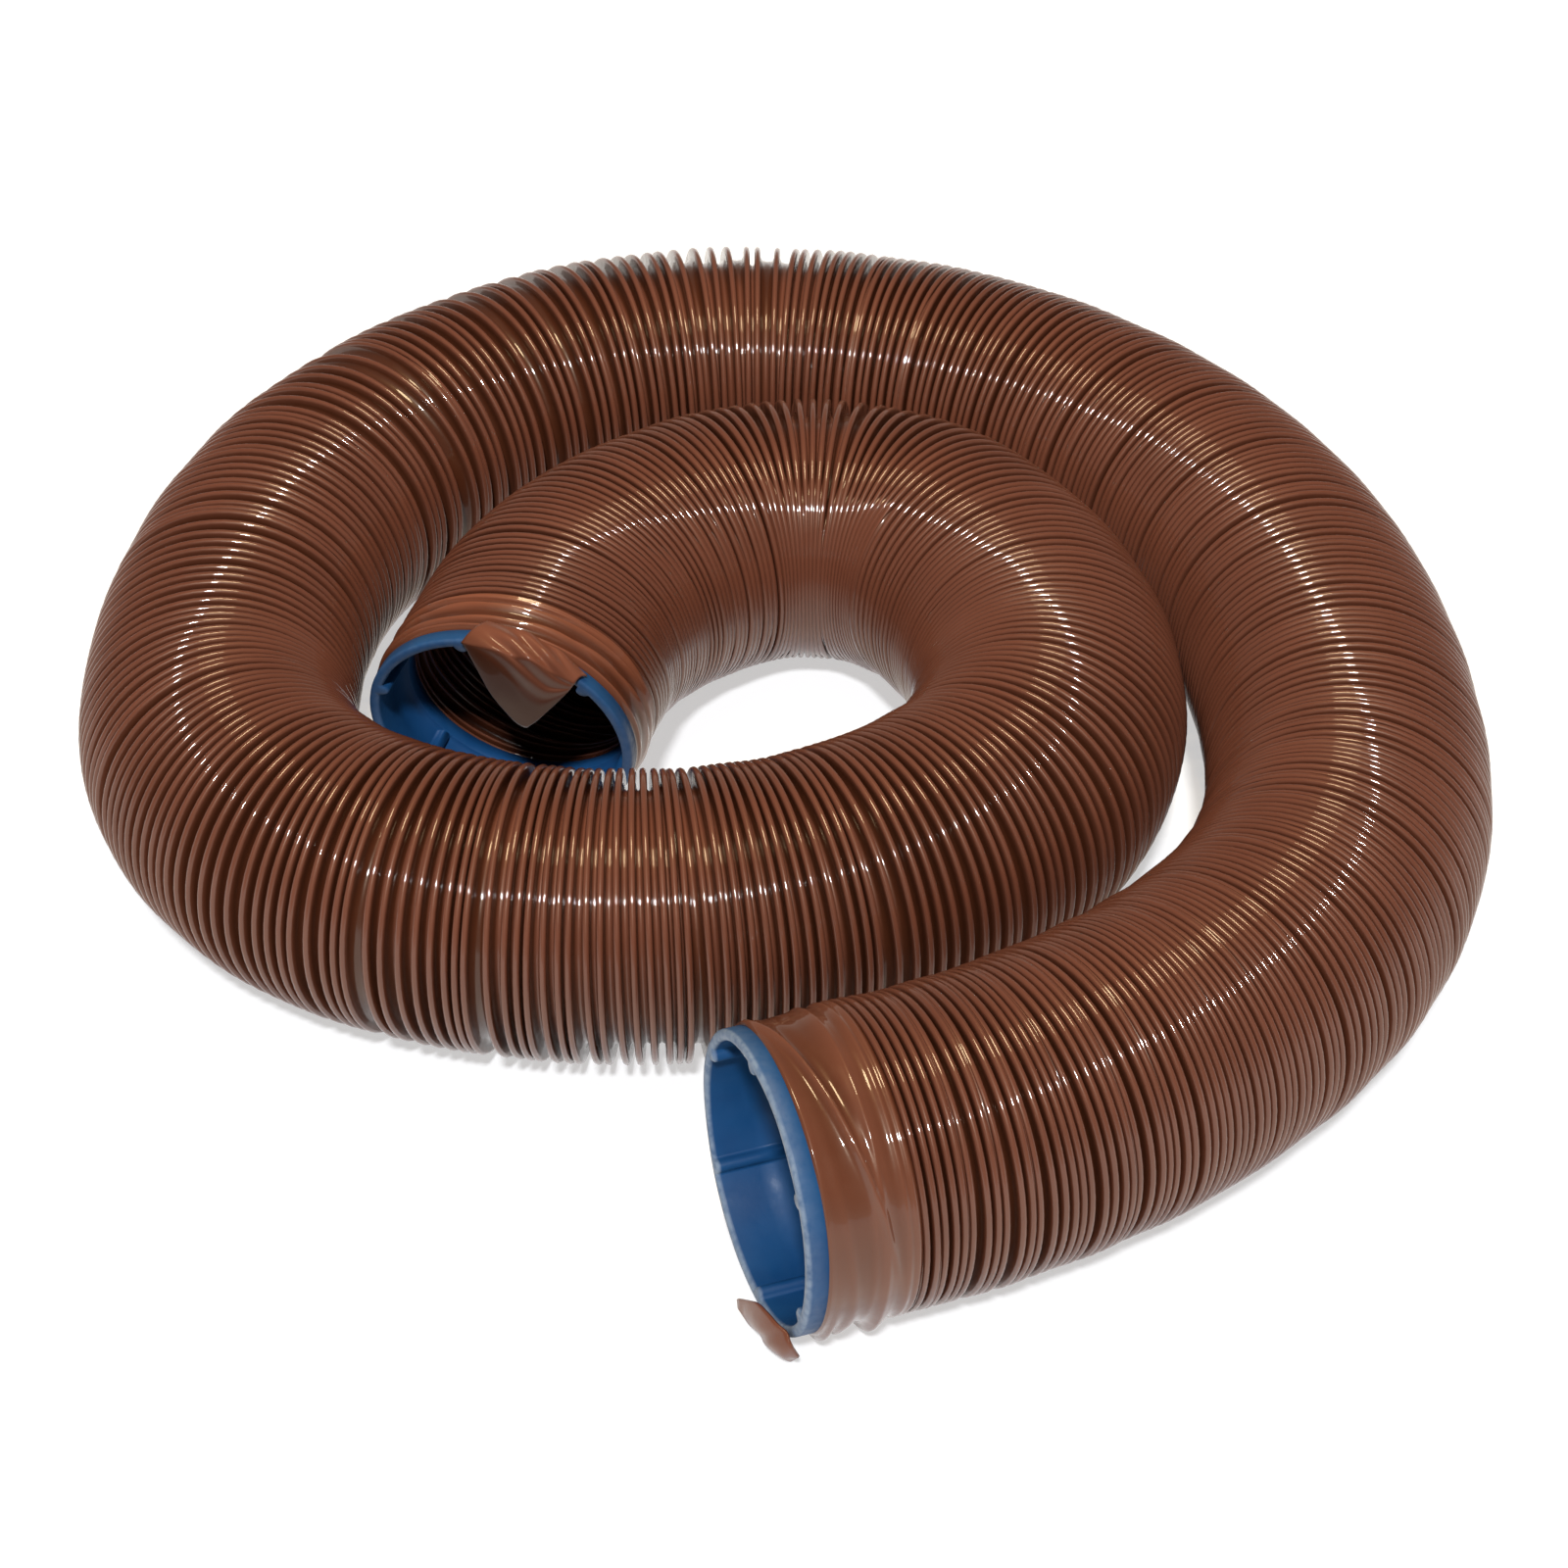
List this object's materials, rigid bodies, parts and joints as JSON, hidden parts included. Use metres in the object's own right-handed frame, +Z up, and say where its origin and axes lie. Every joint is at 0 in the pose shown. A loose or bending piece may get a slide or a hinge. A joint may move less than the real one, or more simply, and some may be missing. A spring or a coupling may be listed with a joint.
{
  "type": "compressible drain hose",
  "caption": "Flexible ridged three inch hose with a ribbed blue ring coupler in each end, lying in a loose spiral; it bends, stretches and carries waste water or air.",
  "frame": {"origin": "on the floor, under the middle of the hose's bounding box", "axes": "+Z up; +Y along the longer side of the spiral, away from the outer mouth; +X to the right when seen from the outer mouth's side"},
  "size_m": [0.4259, 0.5034, 0.085],
  "materials": {
    "skin_vinyl": "gloss",
    "cuff_vinyl": "gloss",
    "ring_plastic": "satin",
    "spring_wire": "satin"
  },
  "bodies": {
    "coil": {"hose_section_05": "skin_vinyl", "wire_05": "spring_wire", "hose_section_06": "skin_vinyl", "wire_06": "spring_wire", "hose_section_07": "skin_vinyl", "wire_07": "spring_wire", "hose_section_08": "skin_vinyl", "wire_08": "spring_wire", "hose_section_09": "skin_vinyl", "wire_09": "spring_wire", "hose_section_10": "skin_vinyl", "wire_10": "spring_wire", "hose_section_11": "skin_vinyl", "wire_11": "spring_wire", "hose_section_12": "skin_vinyl", "wire_12": "spring_wire", "hose_section_13": "skin_vinyl", "wire_13": "spring_wire", "hose_section_14": "skin_vinyl", "wire_14": "spring_wire"},
    "outer_arm": {"hose_section_02": "skin_vinyl", "wire_02": "spring_wire", "hose_section_03": "skin_vinyl", "wire_03": "spring_wire", "hose_section_04": "skin_vinyl", "wire_04": "spring_wire"},
    "outer_end": {"hose_section_01": "skin_vinyl", "wire_01": "spring_wire", "outer_coupler": "ring_plastic", "outer_cuff": "cuff_vinyl"},
    "inner_end": {"hose_section_15": "skin_vinyl", "wire_15": "spring_wire", "inner_coupler": "ring_plastic", "inner_cuff": "cuff_vinyl"},
    "outer_tongue": {"outer_tail": "cuff_vinyl"},
    "inner_flap": {"inner_tail": "cuff_vinyl"}
  },
  "joints": [
    {"name": "outer_arm_swing", "type": "hinge", "parent": "coil", "child": "outer_arm", "pos_m": [0.06126, 0.19337, 0.0425], "axis": [0, 0, 1], "range_deg": [0, 45], "deforming": ["hose_section_05", "wire_05"]},
    {"name": "outer_end_stretch", "type": "slide", "parent": "outer_arm", "child": "outer_end", "axis": [-0.9397, -0.342, 0], "range_m": [-0.02, 0.08], "deforming": ["hose_section_01", "wire_01"]},
    {"name": "inner_end_lift", "type": "hinge", "parent": "coil", "child": "inner_end", "pos_m": [0.023, 0.105, 0.02], "axis": [-0.7319, 0.6814, 0], "range_deg": [0, 25], "deforming": ["hose_section_14", "wire_14", "hose_section_15", "wire_15"]},
    {"name": "outer_tail_flex", "type": "hinge", "parent": "outer_end", "child": "outer_tongue", "pos_m": [-0.0059, -0.2126, 0.0006], "axis": [-0.342, 0.9397, 0], "range_deg": [0, 15], "stiffness_Nm_per_rad": 0.002},
    {"name": "inner_tail_flex", "type": "hinge", "parent": "inner_end", "child": "inner_flap", "pos_m": [-0.06883, -0.01502, 0.07987], "axis": [-0.8932, 0.2227, 0.3907], "range_deg": [0, 90], "stiffness_Nm_per_rad": 0.002}
  ]
}
